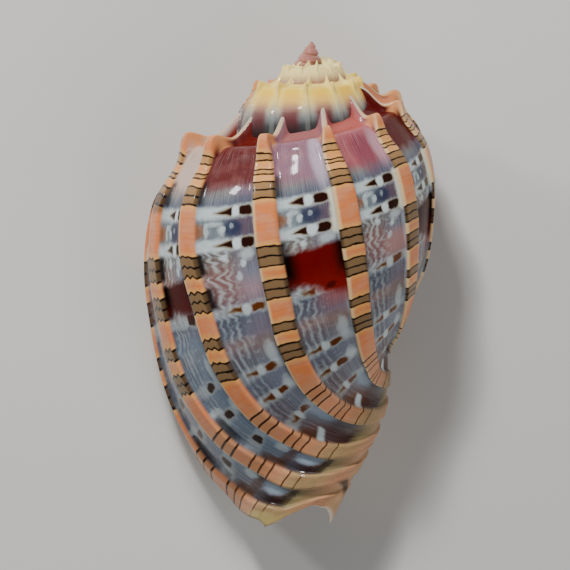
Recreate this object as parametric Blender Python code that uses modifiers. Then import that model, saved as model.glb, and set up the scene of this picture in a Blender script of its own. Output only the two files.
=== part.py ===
"""A harp shell, resting on its mouth with its back up and its spire towards +Y.

The whole shell is the surface that one growing mouth edge has swept. A point of it has two
coordinates. The growth angle says which mouth edge the point was part of, and the station says
how far along that edge it lies, from the seam at the spire to the tip of the pillar. Every edge
is the same outline, turned about the shell's axis and enlarged as the growth angle goes on.
"""
import math

import bmesh
import bpy
import numpy as np
from mathutils import Matrix

# Driving dimensions, in metres and degrees
SHOULDER_RADIUS = 0.0150      # axis to shoulder, at the middle of the back
SHOULDER_SLOPE = 0.655        # how far the shoulder sinks below the spire, in shoulder radii
SPIRE_LIFT = 0.0005           # what the first whorls add above that
WALL = 0.0015                 # thickness of the shell wall
MOUTH_EDGE = 125.0            # growth angle of the mouth edge; 0 is the middle of the back
BULKHEAD = -70.0              # growth angle where the hollow ends, deep inside
FIRST_EDGE = -930.0           # growth angle where the ribbed whorls begin
REST_PITCH = 12.4             # the spire end lies higher than the tip
REST_ROLL = 6.5                # and it leans a little towards the mouth edge

# Growth: the radius grows by these powers of e in one radian
GROWTH_BODY = 0.150
GROWTH_SPIRE = 0.097
GROWTH_CHANGE = math.radians(-112.0)
GROWTH_BLEND = math.radians(35.0)

# Ribs: one to each angle, and evenly spaced before the first that is named
RIB_ANGLES = (-38.0, -4.5, 29.5, 60.5, 87.0, 117.5)
RIB_SPACING = 31.0
OLD_RIBS = 34

# The mouth edge, station by station: how far along, the rib's crest and the gap between two
# ribs, each as radius and height in shoulder radii, the rib's half width as a share of its
# spacing, and how many degrees the edge lags behind there
EDGE = np.array((
    (0.00, 0.50, 0.22, 0.48, 0.02, 0.03, 0.0),
    (0.05, 0.60, 0.17, 0.61, 0.01, 0.03, 0.0),
    (0.11, 0.79, 0.01, 0.79, -0.06, 0.04, 0.0),
    (0.17, 1.01, 0.04, 0.945, -0.07, 0.06, 0.0),
    (0.22, 1.08, -0.18, 1.03, -0.18, 0.11, 1.5),
    (0.29, 1.27, -0.47, 1.22, -0.49, 0.13, 5.0),
    (0.36, 1.35, -0.88, 1.30, -0.88, 0.13, 7.0),
    (0.45, 1.32, -1.40, 1.27, -1.39, 0.13, 9.7),
    (0.54, 1.21, -1.94, 1.16, -1.92, 0.13, 12.8),
    (0.63, 0.97, -2.47, 0.925, -2.43, 0.14, 22.0),
    (0.70, 0.75, -2.84, 0.71, -2.79, 0.16, 38.0),
    (0.76, 0.73, -3.16, 0.695, -3.13, 0.20, 62.0),
    (0.83, 0.68, -3.48, 0.65, -3.46, 0.24, 98.0),
    (0.89, 0.53, -3.69, 0.51, -3.67, 0.28, 125.0),
    (0.94, 0.34, -3.80, 0.33, -3.79, 0.30, 141.0),
    (1.00, 0.06, -3.87, 0.06, -3.87, 0.30, 150.0),
))
# Ribs' flanks by station: width as a share of the spacing, and how hollow. The ribs climb the
# whorl before as thin blades, and the seam hangs between them
RIB_FLANKS = ((0.00, 0.34, 2.0), (0.06, 0.26, 1.8), (0.12, 0.08, 1.3), (0.17, 0.05, 1.0))

# One rib bends towards the mouth edge below the shoulder: its index, and by how much at each
# station, as a share of the spacing
BENT_RIB = 37
BENT_BY = ((0.17, 0.0), (0.25, 0.12), (0.30, 0.15), (0.36, 0.14), (0.42, 0.08), (0.50, 0.03),
           (0.60, 0.0))

# The notch of the mouth edge and the point beyond it: degrees of growth gained or lost at the
# edge, by station
NOTCH = ((0.66, 0.0), (0.70, 4.0), (0.74, -1.0), (0.76, -2.0), (0.77, 0.0), (0.782, 4.0),
         (0.79, 0.0), (0.80, -7.0), (0.81, -11.0), (0.82, -13.0), (0.83, -12.0), (0.84, -9.0),
         (0.86, -5.0), (0.88, 2.0), (0.90, 9.0), (0.92, 17.0), (0.932, 21.0), (0.94, 14.0),
         (0.95, 3.0), (0.96, 0.0))
NOTCH_START = 92.0            # growth angle where the notch begins to show
SHOULDER_SAG = 0.10           # how far the mouth edge's shoulder sags, in shoulder radii
SAG_STATIONS = (0.17, 0.45)   # the sag fades out between these

# The spire's ribs are lower and narrower than the body's: share of each, and where it changes
SPIRE_RELIEF = 0.90
SPIRE_WIDTH = 0.40
SPIRE_FADE = ((0.20, 1.0), (0.28, 0.35))      # and its ribs fade out down the side
RELIEF_CHANGE = (-330.0, -150.0)

# The spire leans on the body, to the right and to the back, about this level of the axis
SPIRE_LEAN = (0.087, 0.09)
LEAN_LEVEL = -0.0045
LEAN_CHANGE = (-270.0, -80.0) # and the lean fades out between these growth angles

# The pillar about the axis, from inside the whorls to the tip: depth below the spire, radius
PILLAR = ((0.020, 0.0030), (0.032, 0.0048), (0.042, 0.0054), (0.050, 0.0056), (0.056, 0.0050),
          (0.0605, 0.0036), (0.0640, 0.0018), (0.0660, 0.0004))
PILLAR_SIDES = 40

# The root that closes the first whorls about the axis, in the same way
ROOT = ((0.0031, 0.0021), (0.0080, 0.0027))

# The smooth first whorls: a small leaning cone with a spiral groove
CAP_TOP = (-0.0004, 0.0003)   # sideways, and height above the spire's start
CAP_BASE = (-0.0011, -0.0029)
CAP_RADIUS = 0.0020
CAP_WHORLS = 3.0
CAP_GROOVE = 0.16             # depth of the groove as a share of the radius there

GROWTH_STEP = 1.6             # degrees between the rows of the skin
STATIONS = 150
VOXEL = 0.00040               # grid on which the solids are joined
KEPT_SHARE = 0.050            # share of the joined solid's faces that is kept
SHELL_COLOUR = (0.50, 0.34, 0.26, 1.0)
SHELL_ROUGHNESS = 0.25


def smooth_curve(column, station):
    """Hermite curve through one column of EDGE, its slopes taken between the neighbours."""
    knots, values = EDGE[:, 0], EDGE[:, column]
    slopes = np.gradient(values, knots)
    i = np.clip(np.searchsorted(knots, station) - 1, 0, len(knots) - 2)
    step = knots[i + 1] - knots[i]
    f = (station - knots[i]) / step
    return ((1 + 2 * f) * (1 - f) ** 2 * values[i] + f * (1 - f) ** 2 * step * slopes[i]
            + f * f * (3 - 2 * f) * values[i + 1] + f * f * (f - 1) * step * slopes[i + 1])


def shoulder_radius(turn):
    """Radius at an angle in radians: an exponential whose rate passes from spire to body."""
    def blended(angle):
        x = (angle - GROWTH_CHANGE) / GROWTH_BLEND
        return 0.5 * (angle + GROWTH_BLEND * (np.logaddexp(x, -x)))
    rate = GROWTH_SPIRE * turn + (GROWTH_BODY - GROWTH_SPIRE) * (blended(turn) - blended(0.0))
    return SHOULDER_RADIUS * np.exp(rate)


def rib_number(growth):
    """Rib number at a growth angle in degrees: whole on each rib's middle."""
    old = RIB_ANGLES[0] - RIB_SPACING * np.arange(OLD_RIBS, 0, -1)
    angles = np.concatenate((old, RIB_ANGLES, (RIB_ANGLES[-1] + RIB_SPACING,)))
    return np.interp(growth, angles, np.arange(len(angles)))


def rib_height(growth, station):
    """1 on a rib's flat top and 0 in the gap, with an eased flank between, lower on the spire."""
    number = rib_number(growth)
    bent = np.clip(1.0 - 2.0 * np.abs(number - BENT_RIB - 0.1), 0.0, 0.5) * 2.0
    number = number - bent * np.interp(station, *zip(*BENT_BY))
    off = np.abs(number - np.round(number))
    old = np.interp(growth, RELIEF_CHANGE, (1.0, 0.0))
    half = smooth_curve(5, station) * (1 - old * (1 - SPIRE_WIDTH))
    stations, widths, hollows = zip(*RIB_FLANKS)
    flank, hollow = np.interp(station, stations, widths), np.interp(station, stations, hollows)
    f = np.clip((half + flank - off) / flank, 0.0, 1.0)
    relief = 1 - old * (1 - SPIRE_RELIEF * np.interp(station, *zip(*SPIRE_FADE)))
    return (f * f * (3 - 2 * f)) ** hollow * relief


def placed(growth, station, radius, height):
    """Point at a radius and height, both in shoulder radii, on the mouth edge of this growth."""
    notch = np.interp(station, *zip(*NOTCH))
    grown = np.clip((growth - NOTCH_START) / (MOUTH_EDGE - NOTCH_START), 0.0, 1.0) ** 2
    turn = np.radians(growth + notch * grown - smooth_curve(6, station))
    size = shoulder_radius(turn)
    height = height - SHOULDER_SAG * grown * np.interp(station, SAG_STATIONS, (1.0, 0.0))
    depth = SPIRE_LIFT + SHOULDER_SLOPE * size - height * size
    side, front = -radius * size * np.sin(turn), radius * size * np.cos(turn)
    lean = np.interp(growth, LEAN_CHANGE, (1.0, 0.0))
    above = (-depth - LEAN_LEVEL) * lean
    rise = (SPIRE_LEAN[1] * front - SPIRE_LEAN[0] * side) * lean
    return np.stack((side + SPIRE_LEAN[0] * above, rise - depth, front - SPIRE_LEAN[1] * above), -1)


def skin(growth, station):
    """The outside, at a growth angle in degrees and a station from 0 to 1, ribs and all."""
    rib = rib_height(growth, station)
    radius = smooth_curve(3, station) * (1 - rib) + smooth_curve(1, station) * rib
    height = smooth_curve(4, station) * (1 - rib) + smooth_curve(2, station) * rib
    return placed(growth, station, radius, height)


def lining(growth, station):
    """The smooth inside: the gap's outline moved in by the wall, square to itself."""
    step = 0.004
    along_radius = smooth_curve(3, station + step) - smooth_curve(3, station - step)
    along_height = smooth_curve(4, station + step) - smooth_curve(4, station - step)
    length = np.hypot(along_radius, along_height)
    wall = WALL / shoulder_radius(np.radians(growth - smooth_curve(6, station)))
    radius = np.maximum(smooth_curve(3, station) + wall * along_height / length, 0.02)
    height = smooth_curve(4, station) - wall * along_radius / length
    return placed(growth, station, radius, height)


def grid_mesh(name, points, closed=False):
    """Sheet of four-sided faces over a grid of points, its columns joined round if closed."""
    rows, columns = points.shape[:2]
    across = columns if closed else columns - 1
    row, column = np.meshgrid(np.arange(rows - 1), np.arange(across), indexing="ij")
    here, beside = row * columns + column, row * columns + (column + 1) % columns
    faces = np.stack((here, beside, beside + columns, here + columns), -1).reshape(-1, 4)
    mesh = bpy.data.meshes.new(name)
    mesh.from_pydata(points.reshape(-1, 3).tolist(), [], faces.tolist())
    return mesh


def thick_sheet(name, points, thickness):
    """The sheet over a grid of points, thickened inwards into a closed wall."""
    obj = bpy.data.objects.new(name, grid_mesh(name, points))
    bpy.context.scene.collection.objects.link(obj)
    wall = obj.modifiers.new("wall", "SOLIDIFY")
    wall.thickness = thickness
    wall.offset = -1.0
    return obj


def turned_solid(name, rings):
    """Closed solid through a stack of rings of points, with a flat face at either end."""
    mesh = grid_mesh(name, rings, closed=True)
    solid = bmesh.new()
    solid.from_mesh(mesh)
    bmesh.ops.holes_fill(solid, edges=solid.edges, sides=0)
    bmesh.ops.recalc_face_normals(solid, faces=solid.faces)
    solid.to_mesh(mesh)
    solid.free()
    obj = bpy.data.objects.new(name, mesh)
    bpy.context.scene.collection.objects.link(obj)
    return obj


def skin_wall():
    """The swept wall: each mouth edge goes down the outside and comes back up the lining."""
    growth = np.arange(FIRST_EDGE, MOUTH_EDGE + GROWTH_STEP / 2, GROWTH_STEP)
    growth, station = np.meshgrid(growth, np.linspace(0, 1, STATIONS), indexing="ij")
    rings = np.concatenate((skin(growth, station), lining(growth, station)[:, ::-1]), 1)
    return turned_solid("skin", rings)


def inner_end():
    """The wall where the hollow ends: each point of a mouth edge joined straight to the axis."""
    station, inward = np.meshgrid(np.linspace(0, 1, STATIONS), np.linspace(0, 1, 12),
                                  indexing="ij")
    edge = skin(np.full_like(station, BULKHEAD), station)
    edge[..., 0] *= 1 - inward
    edge[..., 2] *= 1 - inward
    return thick_sheet("inner_end", edge, WALL)


def about_axis(name, profile):
    """Rings about the axis, from pairs of a depth and a radius."""
    depths, radii = np.array(profile).T
    turn = np.arange(PILLAR_SIDES) * 2 * math.pi / PILLAR_SIDES
    rings = np.stack((radii[:, None] * np.cos(turn), -depths[:, None] + 0 * turn,
                      radii[:, None] * np.sin(turn)), -1)
    return turned_solid(name, rings)


def first_whorls():
    """The smooth cap of the spire: a cone whose radius dips along a spiral groove."""
    down, turn = np.meshgrid(np.linspace(0, 1, 40), np.arange(40) * 2 * math.pi / 40,
                             indexing="ij")
    dip = 1 - CAP_GROOVE * np.abs(np.cos(math.pi * CAP_WHORLS * down + turn / 2)) ** 6
    radius = CAP_RADIUS * down ** 0.8 * dip + 1e-5
    middle = np.array(CAP_TOP)[:, None, None] * (1 - down) + np.array(CAP_BASE)[:, None, None] * down
    rings = np.stack((middle[0] + radius * np.cos(turn), middle[1], radius * np.sin(turn)), -1)
    return turned_solid("first_whorls", rings)


def join_solids(parts, collection):
    """One mesh from all the parts, joined on a fine grid and then thinned."""
    graph = bpy.context.evaluated_depsgraph_get()
    joined = bmesh.new()
    for part in parts:
        mesh = bpy.data.meshes.new_from_object(part.evaluated_get(graph))
        joined.from_mesh(mesh)
        bpy.data.objects.remove(part)
    mesh = bpy.data.meshes.new("shell")
    joined.to_mesh(mesh)
    joined.free()
    shell = bpy.data.objects.new("shell", mesh)
    collection.objects.link(shell)
    union = shell.modifiers.new("union", "REMESH")
    union.mode = "VOXEL"
    union.voxel_size = VOXEL
    thin = shell.modifiers.new("thin", "DECIMATE")
    thin.ratio = KEPT_SHARE
    thin.use_collapse_triangulate = True
    return shell


def settle(shell):
    """Turn the shell to its rest, and put the middle of its box on the ground at the origin."""
    rest = (Matrix.Rotation(math.radians(REST_ROLL), 4, "Y")
            @ Matrix.Rotation(math.radians(REST_PITCH), 4, "X"))
    graph = bpy.context.evaluated_depsgraph_get()
    solid = bpy.data.meshes.new_from_object(shell.evaluated_get(graph))
    solid.transform(rest)
    corners = np.empty(len(solid.vertices) * 3)
    solid.vertices.foreach_get("co", corners)
    corners = corners.reshape(-1, 3)
    low, high = corners.min(0), corners.max(0)
    solid.transform(Matrix.Translation((-(low[0] + high[0]) / 2, -(low[1] + high[1]) / 2, -low[2])))
    shell.modifiers.clear()
    shell.data = solid


def shell_material():
    material = bpy.data.materials.new("shell")
    material.use_nodes = True
    surface = material.node_tree.nodes["Principled BSDF"]
    surface.inputs["Base Color"].default_value = SHELL_COLOUR
    surface.inputs["Roughness"].default_value = SHELL_ROUGHNESS
    return material


def main():
    for obj in list(bpy.data.objects):
        bpy.data.objects.remove(obj)
    collection = bpy.data.collections.new("harp_shell")
    bpy.context.scene.collection.children.link(collection)
    parts = (skin_wall(), inner_end(), about_axis("pillar", PILLAR), about_axis("root", ROOT),
             first_whorls())
    shell = join_solids(parts, collection)
    settle(shell)
    shell.data.materials.clear()
    shell.data.materials.append(shell_material())


main()
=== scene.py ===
"""A harp shell lying on its mouth on a pale floor, seen from above.

The shell is what one growing mouth edge has swept. A point of it has a rib number, which grows
by one from each rib to the next, and a station along the mouth edge, from 0 at the seam below
the spire to 1 at the tip of the pillar. The markings follow the same two numbers.
"""
import math

import bmesh
import bpy
import numpy as np
from mathutils import Matrix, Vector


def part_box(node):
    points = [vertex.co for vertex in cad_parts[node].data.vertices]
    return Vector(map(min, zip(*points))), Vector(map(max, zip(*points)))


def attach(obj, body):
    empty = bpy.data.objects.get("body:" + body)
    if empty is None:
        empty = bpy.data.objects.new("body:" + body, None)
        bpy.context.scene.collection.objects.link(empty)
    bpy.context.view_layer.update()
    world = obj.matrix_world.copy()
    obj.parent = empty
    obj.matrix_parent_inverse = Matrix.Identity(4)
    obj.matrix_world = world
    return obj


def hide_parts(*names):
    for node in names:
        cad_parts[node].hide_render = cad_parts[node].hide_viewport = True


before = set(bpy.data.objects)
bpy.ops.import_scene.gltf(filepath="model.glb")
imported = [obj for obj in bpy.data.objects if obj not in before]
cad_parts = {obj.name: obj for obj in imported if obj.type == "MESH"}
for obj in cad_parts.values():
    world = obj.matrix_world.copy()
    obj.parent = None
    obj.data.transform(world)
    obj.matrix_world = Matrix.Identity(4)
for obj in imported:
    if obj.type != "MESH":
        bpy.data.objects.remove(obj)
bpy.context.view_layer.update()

# The growth of the shell, in metres and degrees, as the solid has it
SHOULDER_RADIUS = 0.0150      # axis to shoulder, at the middle of the back
SHOULDER_SLOPE = 0.655        # how far the shoulder sinks below the spire, in shoulder radii
SPIRE_LIFT = 0.0005           # what the first whorls add above that
WALL = 0.0015                 # thickness of the wall
MOUTH_EDGE = 125.0            # growth angle of the mouth edge; 0 is the middle of the back
FIRST_EDGE = -930.0           # growth angle where the ribbed whorls begin
REST_PITCH = 12.4             # the spire end lies higher than the tip
REST_ROLL = 6.5               # and it leans a little towards the mouth edge
GROWTH_BODY = 0.150           # the radius grows by these powers of e in one radian
GROWTH_SPIRE = 0.097
GROWTH_CHANGE = math.radians(-112.0)
GROWTH_BLEND = math.radians(35.0)

# Ribs: rib 0 is the first that is named, and older ones are evenly spaced before it
RIB_ANGLES = (-38.0, -4.5, 29.5, 60.5, 87.0, 117.5)
RIB_SPACING = 31.0
OLDEST_RIB = -34
FLANK = 0.045                 # width of a rib's flank on the body, as a share of the spacing
# Flanks near the seam, where the ribs climb the whorl before as thin blades: station, width,
# and how hollow
RIB_FLANKS = ((0.00, 0.34, 2.0), (0.06, 0.26, 1.8), (0.12, 0.08, 1.3), (0.17, FLANK, 1.0))
# One rib bends towards the mouth edge below the shoulder: the number about which it bends, and
# by how much at each station, as a share of the spacing
BENT_RIB = 3.1
BENT_BY = ((0.17, 0.0), (0.25, 0.12), (0.30, 0.15), (0.36, 0.14), (0.42, 0.08), (0.50, 0.03),
           (0.60, 0.0))

# The mouth edge, station by station: how far along, the rib's crest and the gap between two
# ribs, each as radius and height in shoulder radii, the rib's half width as a share of its
# spacing, and how many degrees the edge lags behind there
EDGE = np.array((
    (0.00, 0.50, 0.22, 0.48, 0.02, 0.03, 0.0),
    (0.05, 0.60, 0.17, 0.61, 0.01, 0.03, 0.0),
    (0.11, 0.79, 0.01, 0.79, -0.06, 0.04, 0.0),
    (0.17, 1.01, 0.04, 0.945, -0.07, 0.06, 0.0),
    (0.22, 1.08, -0.18, 1.03, -0.18, 0.11, 1.5),
    (0.29, 1.27, -0.47, 1.22, -0.49, 0.13, 5.0),
    (0.36, 1.35, -0.88, 1.30, -0.88, 0.13, 7.0),
    (0.45, 1.32, -1.40, 1.27, -1.39, 0.13, 9.7),
    (0.54, 1.21, -1.94, 1.16, -1.92, 0.13, 12.8),
    (0.63, 0.97, -2.47, 0.925, -2.43, 0.14, 22.0),
    (0.70, 0.75, -2.84, 0.71, -2.79, 0.16, 38.0),
    (0.76, 0.73, -3.16, 0.695, -3.13, 0.20, 62.0),
    (0.83, 0.68, -3.48, 0.65, -3.46, 0.24, 98.0),
    (0.89, 0.53, -3.69, 0.51, -3.67, 0.28, 125.0),
    (0.94, 0.34, -3.80, 0.33, -3.79, 0.30, 141.0),
    (1.00, 0.06, -3.87, 0.06, -3.87, 0.30, 150.0),
))
# The notched tip: how many degrees the mouth edge is ahead there at each station
NOTCH = ((0.66, 0.0), (0.70, 4.0), (0.74, -1.0), (0.76, -2.0), (0.77, 0.0), (0.782, 4.0),
         (0.79, 0.0), (0.80, -7.0), (0.81, -11.0), (0.82, -13.0), (0.83, -12.0), (0.84, -9.0),
         (0.86, -5.0), (0.88, 2.0), (0.90, 9.0), (0.92, 17.0), (0.932, 21.0), (0.94, 14.0),
         (0.95, 3.0), (0.96, 0.0))
NOTCH_START = 92.0            # growth angle where the notch begins to show
SHOULDER_SAG = 0.10           # how far the mouth edge's shoulder sags, in shoulder radii
SAG_STATIONS = (0.17, 0.45)
SPIRE_RELIEF = 0.90           # the spire's ribs are lower and narrower, and fade down its side
SPIRE_WIDTH = 0.40
SPIRE_FADE = ((0.20, 1.0), (0.28, 0.35))
RELIEF_CHANGE = (-330.0, -150.0)
SPIRE_LEAN = (0.087, 0.09)    # the spire leans on the body, to the right and to the back
LEAN_LEVEL = -0.0045
LEAN_CHANGE = (-270.0, -80.0)

# The pillar about the axis: depth below the spire, radius
PILLAR = ((0.020, 0.0030), (0.032, 0.0048), (0.042, 0.0054), (0.050, 0.0056), (0.056, 0.0050),
          (0.0605, 0.0036), (0.0640, 0.0018), (0.0660, 0.0004))
SPIRE_FOOT = ((0.0031, 0.0021), (0.0080, 0.0027))   # what the ribbed whorls begin on

# The smooth first whorls: a small leaning cone with a spiral groove
CAP_TOP = (-0.0004, 0.0003)   # sideways, and height above the spire's start
CAP_BASE = (-0.0011, -0.0029)
CAP_RADIUS = 0.0020
CAP_WHORLS = 3.0
CAP_GROOVE = 0.16

# Grids
WHORL_START = -6.5            # rib number where the last whorl's mesh begins, at the inner lip
INNER_START = -11.0           # and where the wall begins that goes on from there into the mouth
SPIRE_STATIONS = 0.38         # the spire's later stations lie under the next whorl
TOP_SHARE, FLANK_SHARE = 0.14, 0.30   # share of the rows on half a rib's top, and up to its foot
LAST_ACROSS, INNER_ACROSS, SPIRE_ACROSS = 156, 140, 64   # stations of each piece of the wall
LIP_ROUND = 1.3               # how far the rounded lip bulges forwards, in degrees
LIP_ROWS = 6
PILLAR_RINGS, FOOT_RINGS, RING_POINTS = 90, 24, 96
CAP_RINGS, CAP_POINTS = 70, 72
MERGED = 1e-7                 # points closer than this become one
# Stations of the rows of spots, the first of them row -1, and how far apart rows above it would be
ROWS = (0.256, 0.306, 0.355, 0.406, 0.459, 0.508, 0.558, 0.601, 0.653, 0.712, 0.765, 0.82)
ROW_STEP = 0.05

# The view: the photograph is 570 pixels wide and the shell's axis stands nearly upright in it
IMAGE = 570
PIXELS_PER_METRE = 7022.0
SPIRE_PIXEL = (314.8, 42.9)   # where the spire's start lies in the picture
VIEW_PITCH = 10.305           # the camera sees the axis tipped by this
VIEW_ROLL = 2.578             # and turned by this in the picture
CAMERA_AWAY = 0.5
CLIPPED = (0.01, 5.0)         # nearest and farthest that the camera sees

# The studio: each lamp's name, place, size and power, and whether the shell mirrors it
LAMPS = (("key", (-0.05, 0.36, 0.36), 0.10, 2.1, False),
         ("spark", (-0.07, 0.36, 0.36), 0.035, 0.5, True),
         ("side", (-0.39, 0.29, 0.22), 0.06, 0.9, True),
         ("fill", (0.30, -0.35, 0.40), 0.40, 1.3, False))
STUDIO_COLOUR = (0.9, 0.93, 1.0, 1.0)
STUDIO_STRENGTH = 0.12
FLOOR_HALF = 2.0


def smooth_curve(column, station):
    """Hermite curve through one column of EDGE, its slopes taken between the neighbours."""
    knots, values = EDGE[:, 0], EDGE[:, column]
    slopes = np.gradient(values, knots)
    i = np.clip(np.searchsorted(knots, station) - 1, 0, len(knots) - 2)
    step = knots[i + 1] - knots[i]
    f = (station - knots[i]) / step
    return ((1 + 2 * f) * (1 - f) ** 2 * values[i] + f * (1 - f) ** 2 * step * slopes[i]
            + f * f * (3 - 2 * f) * values[i + 1] + f * f * (f - 1) * step * slopes[i + 1])


def shoulder_radius(turn):
    """Radius at an angle in radians: an exponential whose rate passes from spire to body."""
    def blended(angle):
        """Integral over the angle of a step from 0 to 1 that is eased about GROWTH_CHANGE."""
        x = (angle - GROWTH_CHANGE) / GROWTH_BLEND
        return 0.5 * (angle + GROWTH_BLEND * np.logaddexp(x, -x))
    rate = GROWTH_SPIRE * turn + (GROWTH_BODY - GROWTH_SPIRE) * (blended(turn) - blended(0.0))
    return SHOULDER_RADIUS * np.exp(rate)


def rib_table():
    """Rib numbers and their growth angles."""
    old = RIB_ANGLES[0] + RIB_SPACING * np.arange(OLDEST_RIB, 0)
    angles = np.concatenate((old, RIB_ANGLES, (RIB_ANGLES[-1] + RIB_SPACING,)))
    return np.arange(OLDEST_RIB, len(RIB_ANGLES) + 1), angles


def growth_at(number):
    """Growth angle of a rib number, which may lie between two ribs."""
    numbers, angles = rib_table()
    return np.interp(number, numbers, angles)


def number_at(growth):
    """Rib number of a growth angle."""
    numbers, angles = rib_table()
    return np.interp(growth, angles, numbers)


def rib_widths(number, station):
    """Half width of a rib's flat top, width of its flank, how hollow that is, and how much of the
    spire's look it has."""
    old = np.interp(growth_at(number), RELIEF_CHANGE, (1.0, 0.0))
    half = smooth_curve(5, station) * (1 - old * (1 - SPIRE_WIDTH))
    stations, widths, hollows = zip(*RIB_FLANKS)
    return half, np.interp(station, stations, widths), np.interp(station, stations, hollows), old


def rib_height(number, station):
    """1 on a rib's flat top and 0 in the gap, with an eased flank between, lower on the spire."""
    half, flank, hollow, old = rib_widths(number, station)
    f = np.clip((half + flank - np.abs(number - np.round(number))) / flank, 0.0, 1.0)
    relief = 1 - old * (1 - SPIRE_RELIEF * np.interp(station, *zip(*SPIRE_FADE)))
    return (f * f * (3 - 2 * f)) ** hollow * relief


def bent(number, station):
    """How far on a point lies by evenly curved ribs, from its rib number by the ribs as they are:
    further by the one rib's bend, which fades out half way to its neighbours."""
    by = np.interp(station, *zip(*BENT_BY))
    off = number - BENT_RIB
    fade = np.minimum((off + 0.5) / (0.25 - by), (0.5 - off) / (0.25 + by))
    return number + by * np.clip(fade, 0.0, 1.0)


def placed(number, station, radius, height):
    """Point at a radius and height, both in shoulder radii, on the mouth edge of this rib number:
    turned about the axis by the growth angle less the edge's lag, and scaled by the radius then."""
    growth = growth_at(bent(number, station))
    notch = np.interp(station, *zip(*NOTCH))
    grown = np.clip((growth - NOTCH_START) / (MOUTH_EDGE - NOTCH_START), 0.0, 1.0) ** 2
    turn = np.radians(growth + notch * grown - smooth_curve(6, station))
    size = shoulder_radius(turn)
    height = height - SHOULDER_SAG * grown * np.interp(station, SAG_STATIONS, (1.0, 0.0))
    depth = SPIRE_LIFT + SHOULDER_SLOPE * size - height * size
    side, front = -radius * size * np.sin(turn), radius * size * np.cos(turn)
    lean = np.interp(growth, LEAN_CHANGE, (1.0, 0.0))
    above = (-depth - LEAN_LEVEL) * lean
    rise = (SPIRE_LEAN[1] * front - SPIRE_LEAN[0] * side) * lean
    return np.stack((side + SPIRE_LEAN[0] * above, rise - depth, front - SPIRE_LEAN[1] * above), -1)


def skin(number, station):
    """The outside: the gap's outline, raised to the crest's outline by the rib's height."""
    rib = rib_height(number, station)
    radius = smooth_curve(3, station) * (1 - rib) + smooth_curve(1, station) * rib
    height = smooth_curve(4, station) * (1 - rib) + smooth_curve(2, station) * rib
    return placed(number, station, radius, height)


def lining(number, station):
    """The smooth inside: the gap's outline moved in by the wall, square to itself."""
    step = 0.004
    along_radius = smooth_curve(3, station + step) - smooth_curve(3, station - step)
    along_height = smooth_curve(4, station + step) - smooth_curve(4, station - step)
    length = np.hypot(along_radius, along_height)
    turn = np.radians(growth_at(number) - smooth_curve(6, station))
    wall = WALL / shoulder_radius(turn)
    radius = np.maximum(smooth_curve(3, station) + wall * along_height / length, 0.02)
    height = smooth_curve(4, station) - wall * along_radius / length
    return placed(number, station, radius, height)


def rib_rows(first, last):
    """Row values from first to last, whole on each rib's middle, close together on its flanks."""
    half = np.concatenate((np.linspace(0, TOP_SHARE, 4), np.linspace(TOP_SHARE, FLANK_SHARE, 6)[1:],
                           np.linspace(FLANK_SHARE, 0.5, 6)[1:]))
    one = np.concatenate((-half[:0:-1], half))[1:]
    rows = (np.arange(math.floor(first), math.ceil(last) + 1)[:, None] + one).ravel()
    inside = rows[(rows > first + 0.01) & (rows < last - 0.01)]
    return np.concatenate(((first,), inside, (last,)))


def row_number(row, station):
    """Rib number of a row: its shares of top, flank and gap stretched to the rib's width there."""
    whole = np.round(row)
    share = np.abs(row - whole)
    half, flank, _, _ = rib_widths(row, station)
    on_top = share / TOP_SHARE * half
    on_flank = half + (share - TOP_SHARE) / (FLANK_SHARE - TOP_SHARE) * flank
    in_gap = half + flank + (share - FLANK_SHARE) / (0.5 - FLANK_SHARE) * (0.5 - half - flank)
    off = np.where(share < TOP_SHARE, on_top, np.where(share < FLANK_SHARE, on_flank, in_gap))
    return whole + np.sign(row - whole) * off


def closed_mesh(name, points, facts=None):
    """Mesh over a grid of points whose columns join round, its doubles merged, so that an end
    whose points coincide closes. facts maps an attribute's name to its grid of three numbers."""
    rows, columns = points.shape[:2]
    row, column = np.meshgrid(np.arange(rows - 1), np.arange(columns), indexing="ij")
    here, beside = row * columns + column, row * columns + (column + 1) % columns
    faces = np.stack((here, beside, beside + columns, here + columns), -1).reshape(-1, 4)
    mesh = bpy.data.meshes.new(name)
    mesh.from_pydata(points.reshape(-1, 3).tolist(), [], faces.tolist())
    for fact, values in (facts or {}).items():
        attribute = mesh.attributes.new(fact, "FLOAT_VECTOR", "POINT")
        attribute.data.foreach_set("vector", values.astype(np.float32).ravel())
    body = bmesh.new()
    body.from_mesh(mesh)
    bmesh.ops.remove_doubles(body, verts=body.verts, dist=MERGED)
    bmesh.ops.dissolve_degenerate(body, edges=body.edges, dist=MERGED)
    bmesh.ops.recalc_face_normals(body, faces=body.faces)
    body.to_mesh(mesh)
    body.free()
    mesh.polygons.foreach_set("use_smooth", np.ones(len(mesh.polygons), bool))
    return mesh


def facts_of(number, station, side):
    """What the markings need at each point: rib number, station and the row of spots; and how
    many flank widths it lies past the rib's flat top, and which side of the wall this is."""
    row = np.interp(station, ROWS, np.arange(len(ROWS)) - 1.0, right=len(ROWS))
    row = np.where(station < ROWS[0], -1 - (ROWS[0] - station) / ROW_STEP, row)
    past = (np.abs(number - np.round(number)) - rib_widths(number, station)[0]) / FLANK
    return (np.stack((number, station, row), -1),
            np.stack((past, np.full_like(past, side), 0 * past), -1))


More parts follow.
